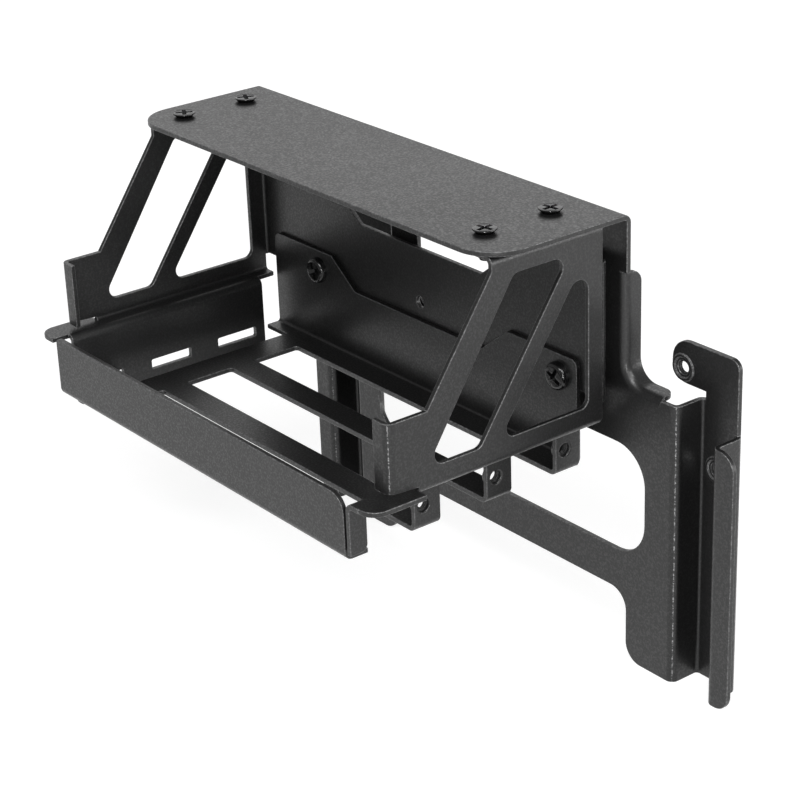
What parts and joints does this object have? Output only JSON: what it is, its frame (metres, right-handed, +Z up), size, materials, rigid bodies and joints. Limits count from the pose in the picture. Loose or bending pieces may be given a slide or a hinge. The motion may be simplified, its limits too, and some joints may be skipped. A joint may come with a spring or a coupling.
{
  "type": "vertical graphics card mount",
  "caption": "Black sheet steel stand with hooked legs, a ventilated hanging cage and a comb tray that holds the bracket of an expansion card.",
  "frame": {"origin": "midway between the two hook holes, on the rear face of the webs", "axes": "+X across the stand to the tab side of the card tray, -Y out of the open front of the cage, +Z up along the legs"},
  "size_m": [0.1692, 0.0806, 0.1104],
  "materials": {
    "black_powder_coat": "satin powder coat",
    "black_screw": "glossy black plating"
  },
  "bodies": {
    "root": {"main_bracket": "black_powder_coat", "cage": "black_powder_coat", "card_tray": "black_powder_coat", "top_screw_front_left": "black_screw", "top_screw_front_right": "black_screw", "top_screw_rear_left": "black_screw", "top_screw_rear_right": "black_screw", "ear_screw_left": "black_screw", "ear_screw_right": "black_screw"}
  },
  "joints": []
}
